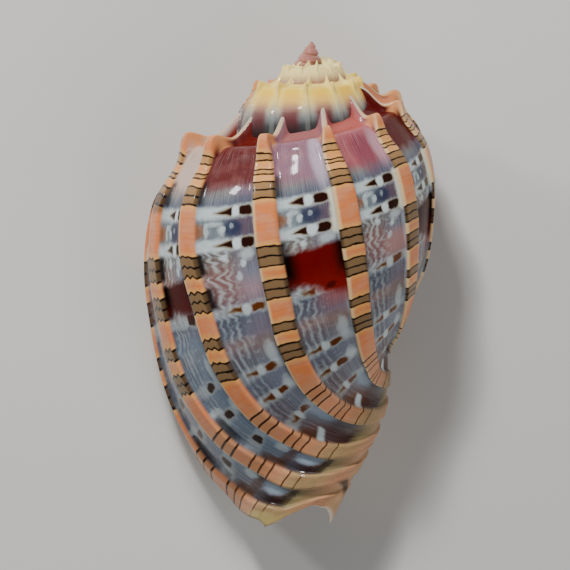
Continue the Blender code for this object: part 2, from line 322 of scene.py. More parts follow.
def swept_wall(name, first, last, last_station, across, lip):
    """One closed piece of the wall, between two rib numbers. The outside and the lining have the
    same stations, so that both ends close by drawing the two together, the last one as a rounded
    lip if lip is true."""
    rows = rib_rows(first, last)
    row, station = np.meshgrid(rows, np.linspace(0, last_station, across), indexing="ij")
    number = row_number(row, station)
    number[0], number[-1] = first, last
    outer, inner = skin(number, station), lining(number, station)
    swell = np.linspace(0, math.pi / 2, LIP_ROWS + 1)[1:] if lip else np.array((math.pi / 2,))
    bulge = LIP_ROUND / RIB_SPACING * lip
    ahead = np.full((len(swell), across), last) + bulge * np.sin(swell)[:, None]
    along = np.repeat(station[-1:], len(swell), 0)
    near, far = skin(ahead, along), lining(ahead, along)
    middle, keep = (near + far) / 2, np.cos(swell)[:, None, None]
    outer = np.concatenate(((outer[:1] + inner[:1]) / 2, outer, middle + (near - middle) * keep))
    inner = np.concatenate((outer[:1], inner, middle + (far - middle) * keep))
    number = np.concatenate((number[:1], number, ahead))
    station = np.concatenate((station[:1], station, along))
    pairs = ((outer, inner), *zip(facts_of(number, station, 0.0), facts_of(number, station, 1.0)))
    points, growth, relief = (np.concatenate((out, back[:, ::-1]), 1) for out, back in pairs)
    return closed_mesh(name, points, {"growth": growth, "relief": relief})


def around(count):
    """This many angles, evenly spaced round a circle."""
    return np.arange(count) * 2 * math.pi / count


def about_axis(name, profile, rings):
    """Rings about the axis, their radius by depth the profile's, as the mean of nine rings."""
    depths, radii = np.array(profile).T
    depth = np.linspace(depths[0], depths[-1], rings)
    radius = np.interp(depth, depths, radii)
    radius = np.convolve(np.pad(radius, 4, "edge"), np.ones(9) / 9, "valid")
    radius[0] = radius[-1] = 0.0
    depth, turn = np.meshgrid(depth, around(RING_POINTS), indexing="ij")
    radius = radius[:, None]
    return closed_mesh(name, np.stack((radius * np.cos(turn), -depth, radius * np.sin(turn)), -1))


def first_whorls_mesh():
    """The smooth cap of the spire: a cone whose radius dips along a spiral groove."""
    down, turn = np.meshgrid(np.linspace(0, 1, CAP_RINGS), around(CAP_POINTS), indexing="ij")
    dip = 1 - CAP_GROOVE * np.abs(np.cos(math.pi * CAP_WHORLS * down + turn / 2)) ** 6
    radius = CAP_RADIUS * down ** 0.8 * dip
    radius[-1] = 0.0
    side = CAP_TOP[0] * (1 - down) + CAP_BASE[0] * down
    up = CAP_TOP[1] * (1 - down) + CAP_BASE[1] * down
    points = np.stack((side + radius * np.cos(turn), up, radius * np.sin(turn)), -1)
    return closed_mesh("first_whorls", points)


def at_rest(meshes):
    """Turns the meshes to the shell's rest, and moves them so that their common box has the
    solid's middle and the solid's lowest level."""
    turn = (Matrix.Rotation(math.radians(REST_ROLL), 4, "Y")
            @ Matrix.Rotation(math.radians(REST_PITCH), 4, "X"))
    low, high = np.full(3, np.inf), np.full(3, -np.inf)
    for mesh in meshes:
        mesh.transform(turn)
        corners = np.empty(len(mesh.vertices) * 3)
        mesh.vertices.foreach_get("co", corners)
        low = np.minimum(low, corners.reshape(-1, 3).min(0))
        high = np.maximum(high, corners.reshape(-1, 3).max(0))
    want_low, want_high = (np.array(corner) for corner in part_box("shell"))
    shift = (want_low + want_high) / 2 - (low + high) / 2
    shift[2] = want_low[2] - low[2]
    for mesh in meshes:
        mesh.transform(Matrix.Translation(shift))
    return turn, shift


def rgb(red, green, blue):
    """A colour given in screen values from 0 to 255, as the light it stands for."""
    share = np.array((red, green, blue)) / 255.0
    linear = np.where(share < 0.04045, share / 12.92, ((share + 0.055) / 1.055) ** 2.4)
    return (*linear.tolist(), 1.0)


class Wire:
    """One output of a shader node. Arithmetic on it adds Math nodes to its tree."""

    def __init__(self, socket):
        self.socket = socket

    def node(self, kind, settings=None, inputs=None, output=0):
        """A new node in the same tree: its settings come first, then its sockets' values."""
        tree = self.socket.id_data
        node = tree.nodes.new(kind)
        for name, value in (settings or {}).items():
            if name == "stops":
                set_stops(node.color_ramp, value)
            else:
                setattr(node, name, value)
        for key, value in (inputs or {}).items():
            if isinstance(value, Wire):
                tree.links.new(value.socket, node.inputs[key])
            else:
                node.inputs[key].default_value = value
        return Wire(node.outputs[output])

    def math(self, operation, *values):
        """A Math node of this operation on this wire and the values."""
        sockets = dict(enumerate((self, *values)))
        return self.node("ShaderNodeMath", {"operation": operation}, sockets)

    def __add__(self, other):
        return self.math("ADD", other)

    def __sub__(self, other):
        return self.math("SUBTRACT", other)

    def __rsub__(self, other):
        return self.math("MULTIPLY_ADD", -1.0, other)

    def __mul__(self, other):
        return self.math("MULTIPLY", other)

    def __truediv__(self, other):
        return self.math("DIVIDE", other)

    def __abs__(self):
        return self.math("ABSOLUTE")

    def __pow__(self, power):
        return self.math("POWER", power)

    def to_nearest(self):
        """Signed distance to the nearest whole number."""
        return self - self.math("ROUND")

    def rise(self, low, high, below=0.0, above=1.0):
        """One value below low and another above high, eased between."""
        return self.node("ShaderNodeMapRange", {"interpolation_type": "SMOOTHSTEP"},
                         {"Value": self, "From Min": low, "From Max": high,
                          "To Min": below, "To Max": above})

    def fall(self, low, high):
        """1 below low, 0 above high, eased between."""
        return self.rise(low, high, 1.0, 0.0)

    def between(self, low, high, soft):
        """1 from low to high, with an eased edge this wide on either side."""
        edge = soft / 2
        return self.rise(low - edge, low + edge) * self.fall(high - edge, high + edge)

    def ramp(self, *stops, mode="LINEAR"):
        """Colour by value: stops are pairs of a value from 0 to 1 and a colour."""
        return self.node("ShaderNodeValToRGB", {"stops": (mode, stops)}, {"Fac": self})

    def blend(self, first, second):
        """The first colour where this is 0 and the second where it is 1. The Mix node's sockets
        go by index, because several share a name."""
        return self.node("ShaderNodeMix", {"data_type": "RGBA"}, {0: self, 6: first, 7: second}, 2)

    def noise(self, scale, detail):
        """Noise from 0 to 1 at this vector."""
        return self.node("ShaderNodeTexNoise", {},
                         {"Vector": self, "Scale": scale, "Detail": detail})

    def parts(self):
        """The three numbers of this vector."""
        split = self.node("ShaderNodeSeparateXYZ", {}, {0: self})
        return split, *(Wire(split.socket.node.outputs[i]) for i in (1, 2))


def set_stops(ramp, value):
    """Gives a colour ramp its mode and stops."""
    ramp.interpolation, stops = value
    while len(ramp.elements) < len(stops):
        ramp.elements.new(0.5)
    for element, (place, colour) in zip(ramp.elements, stops):
        element.position = place
        element.color = colour


def vector(x, y):
    """Two wires as the first two numbers of a vector."""
    return x.node("ShaderNodeCombineXYZ", {}, {0: x, 1: y})


COAT = 0.3                    # weight of the shell's clear coat


class Surface:
    """A material's Principled shader."""

    def __init__(self, node):
        self.node = node

    def take(self, name, wire):
        """Joins a wire to the socket of this name."""
        self.node.id_data.links.new(wire.socket, self.node.inputs[name])

    def set(self, **values):
        """Sets sockets to plain values; an underscore stands for a space in a name."""
        for name, value in values.items():
            self.node.inputs[name.replace("_", " ")].default_value = value


def new_material(name):
    """A new material and its glossy Principled shader."""
    material = bpy.data.materials.new(name)
    material.use_nodes = True
    surface = Surface(material.node_tree.nodes["Principled BSDF"])
    surface.set(Roughness=0.28, Specular_IOR_Level=0.12, Coat_Weight=COAT, Coat_Roughness=0.06)
    return material, surface


def attribute(material, name):
    """The vector attribute of this name."""
    node = material.node_tree.nodes.new("ShaderNodeAttribute")
    node.attribute_name = name
    return Wire(node.outputs["Vector"])


# Colours of the markings, and of the painted highlights and painted shade among them
RIB_ORANGE, RIB_PEACH, RIB_YELLOW = rgb(230, 134, 76), rgb(224, 146, 104), rgb(242, 188, 104)
RIB_FILL, LINE_BROWN, RIB_EDGE_HIGHLIGHT = rgb(124, 100, 72), rgb(20, 10, 8), rgb(240, 214, 160)
RIB_PINK, PALE_EDGE_HIGHLIGHT = rgb(206, 116, 84), rgb(178, 194, 196)
BLADE_CREAM, BLADE_GREY = rgb(226, 176, 124), rgb(196, 188, 168)
WHITE, CREAM, PALE_BLUE = rgb(216, 228, 228), rgb(248, 226, 146), rgb(150, 166, 182)
SPOT_BROWN, SPOT_RUST, SPOT_GOLD = rgb(42, 15, 6), rgb(110, 58, 20), rgb(142, 112, 44)
BROWN = rgb(100, 58, 30)
SLATE, NAVY, GREY = rgb(92, 102, 122), rgb(40, 48, 78), rgb(128, 130, 130)
PLUM, PINK = rgb(98, 84, 98), rgb(196, 132, 126)
DARK_RED, BRIGHT_RED, NEAR_BLACK = rgb(106, 8, 4), rgb(126, 18, 7), rgb(14, 3, 2)
OLIVE, BASE_PINK, LINING = rgb(142, 126, 84), rgb(208, 152, 118), rgb(228, 208, 188)
BASE_SHADE, TIP_YELLOW, TIP_FOLD_DARK = rgb(104, 84, 54), rgb(190, 172, 108), rgb(52, 34, 20)
BROWN_COLLAR, CHESTNUT, INK = rgb(62, 34, 24), rgb(108, 48, 24), rgb(84, 50, 32)
CREASE_SHADE_BROWN, FADED_RED, CORNER_RED = rgb(52, 36, 30), rgb(160, 84, 82), rgb(60, 4, 2)
BLUE, THREAD_DARK, STREAK_DARK = rgb(112, 132, 152), rgb(46, 26, 34), rgb(112, 70, 74)

# The gaps' ground down the stations: by the newer rib, and by the older one
GROUND_NEW = (
    (0.17, rgb(176, 104, 96)), (0.25, rgb(160, 112, 110)), (0.275, GREY), (0.30, SLATE),
    (0.32, rgb(118, 130, 136)), (0.345, rgb(118, 130, 136)), (0.37, rgb(120, 118, 112)),
    (0.40, rgb(150, 112, 104)), (0.44, rgb(142, 108, 110)), (0.465, rgb(74, 84, 100)),
    (0.495, rgb(92, 98, 112)), (0.51, rgb(140, 108, 104)), (0.53, rgb(100, 96, 104)),
    (0.57, rgb(100, 106, 122)), (0.63, rgb(104, 92, 98)), (0.68, rgb(104, 84, 84)),
    (0.70, rgb(120, 70, 52)), (0.735, rgb(84, 54, 44)), (0.765, rgb(56, 34, 34)),
    (0.785, OLIVE), (0.83, rgb(190, 150, 110)),
)
GROUND_OLD = (
    (0.17, rgb(186, 132, 132)), (0.25, rgb(150, 116, 130)), (0.285, rgb(96, 98, 114)),
    (0.32, PLUM), (0.345, PLUM), (0.37, rgb(112, 104, 116)), (0.40, rgb(130, 132, 146)),
    (0.43, rgb(168, 140, 148)), (0.465, rgb(110, 112, 128)), (0.50, rgb(122, 104, 116)),
    (0.515, rgb(130, 104, 96)), (0.54, rgb(126, 124, 132)), (0.58, rgb(122, 126, 142)),
    (0.62, rgb(122, 122, 134)), (0.66, rgb(126, 138, 150)), (0.70, rgb(116, 124, 138)),
    (0.72, rgb(96, 84, 84)), (0.75, rgb(112, 108, 108)), (0.785, rgb(160, 140, 106)),
    (0.83, BASE_PINK),
)
# The base of the ribs down the stations
BASE_COLOURS = ((0.70, BASE_PINK), (0.745, rgb(164, 146, 104)), (0.785, rgb(164, 146, 104)),
                (0.82, BASE_PINK), (0.88, rgb(206, 168, 118)))
# What each gap has of its own is listed by gap, from the oldest that shows
OLDEST_GAP = -2
# The ramp between seam and shoulder
RAMP_COLOURS = (rgb(214, 130, 84), rgb(84, 6, 4), rgb(178, 88, 80), rgb(160, 98, 96),
                rgb(96, 20, 12), rgb(110, 30, 20), rgb(226, 204, 176), rgb(226, 204, 176))
# The gaps' colour above the first row
TOP_COLOURS = (rgb(190, 128, 90), rgb(84, 10, 6), rgb(168, 92, 98), rgb(140, 100, 116),
               rgb(96, 30, 28), rgb(206, 182, 166), rgb(226, 204, 176), rgb(226, 204, 176))
# The spire's last whorl down the stations, between its ribs and beside them; the last stops, near
# black, are painted shade where the whorl runs in under the next one.
SPIRE_MIDDLE = ((0.00, CREAM), (0.14, rgb(255, 216, 96)), (0.215, rgb(255, 204, 62)),
                (0.25, rgb(240, 190, 96)), (0.275, rgb(176, 132, 106)), (0.295, rgb(122, 80, 78)),
                (0.32, rgb(98, 54, 56)), (0.35, rgb(60, 42, 44)), (0.38, rgb(24, 20, 22)))
SPIRE_SIDES = ((0.00, CREAM), (0.14, rgb(255, 226, 122)), (0.22, rgb(255, 218, 88)),
               (0.26, rgb(240, 206, 126)), (0.285, rgb(190, 178, 152)), (0.31, rgb(130, 136, 134)),
               (0.335, rgb(72, 76, 76)), (0.38, rgb(20, 20, 20)))

# Lines across the ribs: first and last station of each group, and how many lines it has
RIB_LINES = ((0.205, 0.219, 2), (0.237, 0.246, 2), (0.262, 0.2925, 3), (0.3665, 0.3975, 3),
             (0.4215, 0.4505, 3), (0.4915, 0.505, 2), (0.5265, 0.552, 3), (0.616, 0.6465, 3),
             (0.674, 0.705, 3), (0.735, 0.755, 2))
# How strong the tan between the lines is, down the stations
FILL_STRENGTH = ((0.25, 0.45), (0.26, 0.8), (0.34, 1.0), (0.57, 1.0), (0.61, 0.25), (0.67, 0.15))

# How far a gap's spots lie towards the older rib, in tenths, how blue its lower part is, how dark
# the patches beside the rib's lines, and how dark its blotch
GAP_SHIFT = (0.0, 0.0, 0.2, 0.0, 0.5, 0.3, 0.0, 0.0)
GAP_BLUE = (0.0, 0.0, 0.0, 0.0, 0.15, 0.8, 0.6, 0.0)
GAP_PATCHES = (0.3, 0.5, 0.3, 0.85, 0.95, 0.95, 0.5, 0.5)
GAP_DARK = (0.0, 0.7, 0.0, 0.0, 0.0, 0.6, 0.0, 0.0)
# Whether it has the white mark above its base. Gaps without it have their spots and their blotch
# lower, and patches above the base.
GAP_MARK = (1.0, 1.0, 1.0, 1.0, 1.0, 0.0, 0.0, 0.0)
# How pale the threads along its growth lines are
GAP_THREADS = (0.8, 0.15, 0.8, 1.0, 0.6, 1.0, 1.0, 1.0)
# How strong the wedges are below the first two rows, and how near to black its spots there
GAP_WEDGES = (1.0, 1.0, 1.0, 1.0, 1.0, 0.0, 0.3, 0.3)
GAP_SPOTS = (0.3, 0.9, 0.15, 0.35, 0.25, 1.0, 1.0, 1.0)

# How strong each row of spots is, by its number, and the streaks after it. Rows are looked up
# from FIRST_ROW on, over ROW_SPAN rows.
SPOT_STRENGTH = ((-1, 0.0), (0, 1.0), (1, 1.0), (2, 0.0), (3, 0.85), (4, 0.1), (5, 0.8),
                 (6, 0.9), (7, 0.75), (8, 0.0))
STREAK_STRENGTH = ((-2, 0.0), (0, 0.15), (1, 1.0), (2, 0.9), (3, 0.6), (4, 0.6), (5, 0.5),
                   (6, 0.3), (7, 0.2), (8, 0.0))
FIRST_ROW, ROW_SPAN = -2, 12

# Patches of colour: middle and half widths, both across the gap and down the stations, colour
# and strength. Those at the top lie in single gaps, by rib number, and two of them, pale ones
# beside the older rib, are painted highlights. The others lie in all gaps, by the share of the gap,
# and those of the last table in the gaps without mark.
TOP_PATCHES_AND_HIGHLIGHTS = (
    # painted highlight beside the older rib of gap 1
    ((1.24, 0.22), (0.10, 0.07), rgb(214, 202, 218), 0.6),
    ((0.48, 0.235), (0.18, 0.05), rgb(126, 52, 76), 0.6),
    # painted highlight beside the older rib of gap 0
    ((0.22, 0.23), (0.10, 0.05), rgb(210, 172, 186), 0.6),
    ((0.30, 0.428), (0.26, 0.026), rgb(196, 136, 122), 0.6),
)
BETWEEN_PATCHES = (
    ((0.47, 0.331), (0.15, 0.014), NAVY, 0.85),
    ((0.90, 0.332), (0.17, 0.012), rgb(144, 92, 56), 0.9),
)
SHARED_PATCHES = (
    ((0.72, 0.333), (0.03, 0.011), WHITE, 0.55),
    ((0.60, 0.333), (0.035, 0.007), WHITE, 0.7),
    ((0.47, 0.328), (0.03, 0.004), WHITE, 0.35),
    ((0.67, 0.323), (0.07, 0.004), WHITE, 0.5),
    ((0.37, 0.387), (0.045, 0.006), WHITE, 0.8),
    ((0.44, 0.408), (0.045, 0.006), WHITE, 0.6),
    ((0.60, 0.375), (0.05, 0.006), WHITE, 0.7),
    ((0.30, 0.374), (0.10, 0.009), WHITE, 0.6),
    ((0.28, 0.535), (0.08, 0.020), WHITE, 0.45),
    ((0.26, 0.590), (0.08, 0.012), WHITE, 0.5),
    ((0.30, 0.680), (0.11, 0.030), PALE_BLUE, 0.6),
    ((0.82, 0.700), (0.10, 0.022), BROWN, 0.8),
)
BASE_PATCHES = (
    ((0.50, 0.710), (0.60, 0.009), BROWN, 0.6),
    ((0.42, 0.690), (0.10, 0.012), WHITE, 0.5),
    ((0.72, 0.738), (0.14, 0.030), NEAR_BLACK, 0.7),
    ((0.42, 0.740), (0.16, 0.022), PALE_BLUE, 0.9),
    ((0.55, 0.772), (0.35, 0.008), NEAR_BLACK, 0.6),
    ((0.80, 0.618), (0.10, 0.024), NEAR_BLACK, 0.8),
    ((0.72, 0.592), (0.13, 0.007), WHITE, 0.7),
)

# Rib numbers over which one look passes into the next, and stations where the glaze begins that
# lies beside the mouth
FIRST_WHORL_ENDS, SPIRE_ENDS = (-20.0, -17.5), (-8.3, -6.7)
GLAZE_ENDS, GLAZE_STATIONS = (-6.5, -6.0), (0.37, 0.40)
LIP_BEGINS = (5.16, 5.25)


def grey(value):
    """A number as a colour."""
    return (value, value, value, 1.0)


def by_gap(gap, values):
    """A number or colour looked up by gap."""
    count = len(values)
    stops = [(i / count, value if isinstance(value, tuple) else grey(value))
             for i, value in enumerate(values)]
    return ((gap - OLDEST_GAP + 0.5) / count).ramp(*stops, mode="CONSTANT")


def by_row(row, strengths):
    """A number looked up by whole row, from pairs of a row and its strength."""
    stops = [((number - FIRST_ROW - 0.5) / ROW_SPAN, grey(value)) for number, value in strengths]
    return ((row - FIRST_ROW) / ROW_SPAN).ramp(*stops, mode="CONSTANT")


def spot(across, along, middle, half):
    """Squared distance from a point, in half widths: 1 on the rim of the ellipse about it."""
    return ((across - middle[0]) / half[0]) ** 2.0 + ((along - middle[1]) / half[1]) ** 2.0


def patches(colour, across, along, table, soft):
    """Elliptical patches over a colour, each fading out between these two squared distances."""
    for middle, half, tint, strength in table:
        colour = (spot(across, along, middle, half).fall(*soft) * strength).blend(colour, tint)
    return colour


def rib_paint(number, station, past, wobble):
    """The flat tops of the ribs: orange blocks, yellower at their ends, between groups of dark
    lines with tan between them. A pale thread along the newer edge is a painted highlight."""
    side = number.to_nearest()
    zigzag = abs((side * 9.0 + wobble * 90.0).to_nearest()) * spot(
        number, station, (4.0, 0.45), (1.5, 0.13)).fall(0.6, 1.1)
    low = station.rise(0.57, 0.62)
    along = station + (wobble + side * 0.008 - side * side * 0.08) * (1.0 - low * 0.6)
    along = along + zigzag * 0.008 - side * low * 0.025
    lines, fills, halos = [], [], []
    for first, last, count in RIB_LINES:
        step = (last - first) / (count - 1)
        from_line = abs(((along - first) / step).to_nearest()) * step
        near = along.between(first - step / 2, last + step / 2, 0.0005)
        lines.append(from_line.fall(0.0007, 0.0026) * near)
        fills.append(along.between(first, last, 0.003))
        halos.append(along.between(first - 0.007, last + 0.007, 0.012))
    lines, fills, halos = (sum(group[1:], group[0]) for group in (lines, fills, halos))
    cloud = vector(number * 5.0, station * 60.0).noise(1.0, 2.0)
    bands = vector(number * 2.0, station * 260.0).noise(1.0, 1.0)
    colour = cloud.rise(0.35, 0.65).blend(RIB_ORANGE, RIB_PEACH)
    colour = (bands.rise(0.45, 0.75) * 0.5).blend(colour, RIB_PINK)
    colour = (halos * (0.6 - low * 0.4)).blend(colour, RIB_YELLOW)
    colour = (low * 0.5).blend(colour, BASE_PINK)
    collar = station.between(0.277, 0.305, 0.010) * number.rise(3.5, 3.7)
    fills = fills * station.ramp(*((place, grey(value)) for place, value in FILL_STRENGTH))
    colour = (fills * 0.92).blend(colour, RIB_FILL)
    colour = (past.rise(-0.7, 0.3) * fills * 0.6).blend(colour, LINE_BROWN)
    colour = (collar * 0.7).blend(colour, BROWN_COLLAR)
    # painted highlight: a pale thread along the rib's newer edge
    colour = (past.rise(-0.9, 0.0) * side.rise(-0.02, 0.02) * (1.0 - fills) * 0.7).blend(
        colour, RIB_EDGE_HIGHLIGHT)
    ink = station.rise(0.60, 0.70).blend(LINE_BROWN, INK)
    colour = (lines * (cloud * 0.3 + 0.85)).blend(colour, ink)
    base = station.rise(0.67, 0.76)
    grown = vector(number * 60.0, station * 8.0).noise(1.0, 3.0) + (cloud - 0.5) * 0.5
    colour = (base * (1.0 - lines * station.fall(0.74, 0.78)) * 0.8).blend(
        colour, (grown.rise(0.42, 0.62) * 0.45).blend(station.ramp(*BASE_COLOURS), BASE_SHADE))
    blade = station.fall(0.09, 0.185)
    return (blade * 0.85).blend(colour, station.rise(0.05, 0.15).blend(BLADE_GREY, BLADE_CREAM))


class GapPlace:
    """Where a point lies in a gap. Its share runs from 0 at the older rib to 1 at the newer, and
    noise unsettles that and its row, so that no marking has a straight edge."""

    def __init__(self, number, station, row):
        self.number, self.station = number, station
        self.gap = number.math("FLOOR")
        self.late = 1.0 - by_gap(self.gap, GAP_MARK)
        clouds = vector(number * 9.0, station * 90.0)
        self.slow, self.fine = clouds.noise(0.5, 2.0), clouds.noise(1.8, 3.0)
        self.other = vector(number * 9.0 + 31.0, station * 90.0).noise(0.8, 1.5)
        self.bare_share = number - self.gap
        self.share = self.bare_share + (self.slow - 0.5) * 0.08 + (self.fine - 0.5) * 0.015
        self.first_two = station.between(0.293, 0.370, 0.010)
        tilt = station.rise(0.46, 0.72) * (self.share - 0.5) * 0.7
        self.row = row + (self.other - 0.5) * (0.24 - self.first_two * 0.12) - tilt
        self.near = self.row.to_nearest()
        self.height = abs(self.near)
        across = self.share - station.rise(0.40, 0.60) * (self.late * 0.11 + 0.13)
        self.across = across + by_gap(self.gap, GAP_SHIFT) * 0.1
        self.gate = by_row(self.row.math("ROUND"), SPOT_STRENGTH)


def gap_ground(at):
    """The ground: above the first row a colour of its own for each gap, and threads along the
    growth lines all over."""
    station, share = at.station, at.share
    thread = vector(at.number * 100.0, station * 12.0).noise(1.0, 3.0)
    ground = share.rise(0.30, 0.66).blend(station.ramp(*GROUND_OLD), station.ramp(*GROUND_NEW))
    blue = by_gap(at.gap, GAP_BLUE) * station.rise(0.46, 0.50) * station.fall(0.70, 0.76)
    ground = blue.blend(ground, BLUE)
    pale = by_gap(at.gap, GAP_THREADS)
    top = (at.slow.rise(0.4, 0.7) * pale * 0.20).blend(by_gap(at.gap, TOP_COLOURS), PINK)
    ground = (station + (at.other - 0.5) * 0.02).fall(0.255, 0.285).blend(ground, top)
    streaky = at.number + (thread - 0.5) * 0.16
    # the top patches, two of them painted highlights
    ground = patches(ground, streaky, station, TOP_PATCHES_AND_HIGHLIGHTS, (0.0, 2.0))
    ground = (thread.rise(0.5, 0.75) * pale * 0.20).blend(ground, WHITE)
    ground = (thread.fall(0.28, 0.5) * 0.45).blend(ground, THREAD_DARK)
    return patches(ground, share, station, BETWEEN_PATCHES, (0.2, 1.6))


def streaks(at, colour):
    """A few wavy pale streaks along the growth lines on the newer half, drawn aside where a row
    crosses, with darker ones between them and dots beside them."""
    station, share = at.station, at.share
    wave = vector(at.number * 2.0, station * 75.0).noise(1.0, 1.0)
    bend = (0.34 - at.height).math("MAXIMUM", 0.0) * station.fall(0.47, 0.53) * 0.15
    swing = station.fall(0.46, 0.54) * 1.9 + 0.5
    phase = abs(((share - bend) * 10.0 + (wave - 0.5) * swing).to_nearest())
    strength = by_row(at.row.math("FLOOR"), STREAK_STRENGTH)
    newer = share.rise(0.46, 0.62) * share.fall(0.80, 0.87)
    colour = (phase.rise(0.26, 0.50) * newer * strength * 0.35).blend(colour, STREAK_DARK)
    white = phase.fall(0.02, 0.36) * newer * strength * at.other.rise(0.25, 0.55)
    dots = spot((share * 6.0 + 0.2).to_nearest(), (at.row * 4.0 + 0.5).to_nearest(), (0.0, 0.0),
                (0.46, 0.42)).fall(0.1, 1.3)
    dots = dots * at.fine.rise(0.46, 0.66) * strength * share.rise(0.25, 0.50) * 0.6
    return (white.math("MAXIMUM", dots) * 0.52).blend(colour, WHITE)


def pale_bands(at, colour):
    """Each row's pale band, which in the first two widens to a cream column beside the older
    rib."""
    band = (at.height + (at.fine - 0.5) * 0.16 + (at.slow - 0.5) * 0.10).fall(0.08, 0.28) * at.gate
    band = band * (at.first_two * 0.45 + 0.45) * (1.0 - at.across.rise(0.70, 0.95) * 0.25)
    beside = (at.across - at.height.fall(0.0, 0.3) * 0.03).fall(0.17, 0.25) * at.first_two
    band = band.math("MAXIMUM", beside) * (at.fine * 0.4 + 0.8)
    return (beside * 0.35).blend((band * 0.9).blend(colour, WHITE), CREAM)


def spot_rows(at, colour):
    """Rows of spots. From the older rib on, each has a dark dash, a white heart and a dark wedge
    whose tip points to the newer rib; gold fringes them all."""
    across, gate, first_two = at.across, at.gate, at.first_two
    taper = ((0.70 - across) / 0.17).math("MAXIMUM", 0.0) * (first_two * 0.04 + 0.08)
    foot = across.rise(0.505, 0.545) * across.fall(0.68, 0.74)
    wedge, wedge_rim = (foot * (taper + more - at.height).rise(-0.05, 0.05)
                        for more in (0.0, 0.045))
    bar = (abs(across - 0.315) / 0.09) ** 3.0 + (at.height / (first_two * 0.04 + 0.12)) ** 3.0
    dash, dash_rim = bar.fall(0.25, 1.7), bar.fall(1.0, 3.0)
    heart = spot(across, at.near, (0.465, 0.0), (0.062, 0.18)).fall(0.35, 1.6)
    plain = by_gap(at.gap, GAP_WEDGES).math("MAXIMUM", first_two)
    colour = ((dash_rim * 0.6 + wedge_rim * plain) * gate * 0.75).blend(colour, SPOT_GOLD)
    darkness = by_gap(at.gap, GAP_SPOTS).math("MAXIMUM", gate.rise(0.95, 1.0))
    colour = ((dash + wedge * plain) * gate * 1.25).blend(
        colour, darkness.blend(SPOT_RUST, SPOT_BROWN))
    return (heart * gate * (plain * 0.5 + 0.15 + first_two * 0.3)).blend(colour, WHITE)


def gap_patches(at, colour):
    """The patches that the gaps share, and above the base the white mark or the patches that the
    gaps without it have there."""
    frayed = at.station + (at.fine - 0.5) * 0.014
    colour = patches(colour, at.share, frayed, SHARED_PATCHES, (0.1, 1.8))
    off = abs(at.station - 0.712 + (0.68 - at.share) * 0.07)
    mark = off.fall(0.003, 0.011) * at.share.between(0.60, 0.85, 0.06) * (1.0 - at.late)
    colour = mark.blend(colour, WHITE)
    return at.late.blend(colour, patches(colour, at.share, frayed, BASE_PATCHES, (0.1, 1.7)))


def gap_edges(at, colour):
    """A pale thread against the older rib, a painted highlight, and a dark foot against the newer
    one, painted shade in the crease there; near-black patches lie beside that rib's groups of
    lines."""
    station, share = at.station, at.share
    # painted highlight: a pale thread against the older rib
    colour = (share.fall(0.13, 0.20) * station.rise(0.28, 0.31) * 0.5).blend(colour, PALE_EDGE_HIGHLIGHT)
    # painted shade: a dark foot in the crease against the newer rib
    foot = share.rise(0.79, 0.87) * station.rise(0.45, 0.52) * station.fall(0.76, 0.80)
    colour = (foot * 0.65).blend(colour, CREASE_SHADE_BROWN)
    groups = station.between(0.364, 0.398, 0.010) + station.between(0.416, 0.452, 0.012)
    groups = groups + station.between(0.256, 0.294, 0.010) * 0.8
    dark = at.bare_share.rise(0.72, 0.84) * groups * by_gap(at.gap, GAP_PATCHES)
    return dark.blend(colour, NEAR_BLACK)


def red_blotch(at, colour):
    """The dark red blotch of every second gap, near black at its sides, over a colour; and how
    much of it covers each point."""
    station, share, late = at.station, at.share, at.late
    odd = (at.gap * 0.5).math("FRACT") * 2.0
    upper = station + (at.other - 0.5) * 0.010 + (share - 0.5) * -0.010 - late * 0.016
    lower = station - share.fall(0.2, 0.8) * (0.026 - late * 0.018) + (at.slow - 0.5) * 0.02
    blotch = odd * upper.rise(0.380, 0.392) * lower.fall(0.436, 0.458)
    bright = (at.fine * 0.6 + station.rise(0.40, 0.46) * 0.5).rise(0.3, 0.9)
    side = at.bare_share.rise(0.64, 0.82).math("MAXIMUM", at.bare_share.fall(0.14, 0.32))
    red = (side * station.fall(0.42, 0.46)).blend(bright.blend(DARK_RED, BRIGHT_RED), NEAR_BLACK)
    red = by_gap(at.gap, GAP_DARK).blend(red, NEAR_BLACK)
    fade = odd * share.fall(0.3, 0.7) * station.between(0.45, 0.49, 0.03) * (1.0 - late)
    colour = (fade * 0.7).blend(colour, FADED_RED)
    colour = blotch.blend(colour, red)
    corner = spot(share, station, (0.35, 0.457), (0.07, 0.006)).fall(0.3, 1.4) * odd
    return (corner * 0.8).blend(colour, CORNER_RED), blotch


def gap_paint(number, station, row):
    """The gaps between the ribs, and how much of their dark red blotch covers each point."""
    at = GapPlace(number, station, row)
    colour = gap_ground(at)
    for paint in (streaks, pale_bands, spot_rows, gap_patches, gap_edges):
        colour = paint(at, colour)
    return red_blotch(at, colour)


def tip_paint(number, station, colour):
    """Over a colour, a dark diagonal band along the fold beside the notch, and the yellow corner
    before it.
    """
    off = abs(station - 0.825 - (number - 4.1) * 0.085)
    dark_mark = off.fall(0.004, 0.015) * number.between(4.2, 4.85, 0.25)
    corner = spot(number, station, (5.08, 0.765), (0.16, 0.035)).fall(0.2, 1.6)
    colour = (dark_mark * 0.85).blend(colour, TIP_FOLD_DARK)
    return (corner * 0.7).blend(colour, TIP_YELLOW)


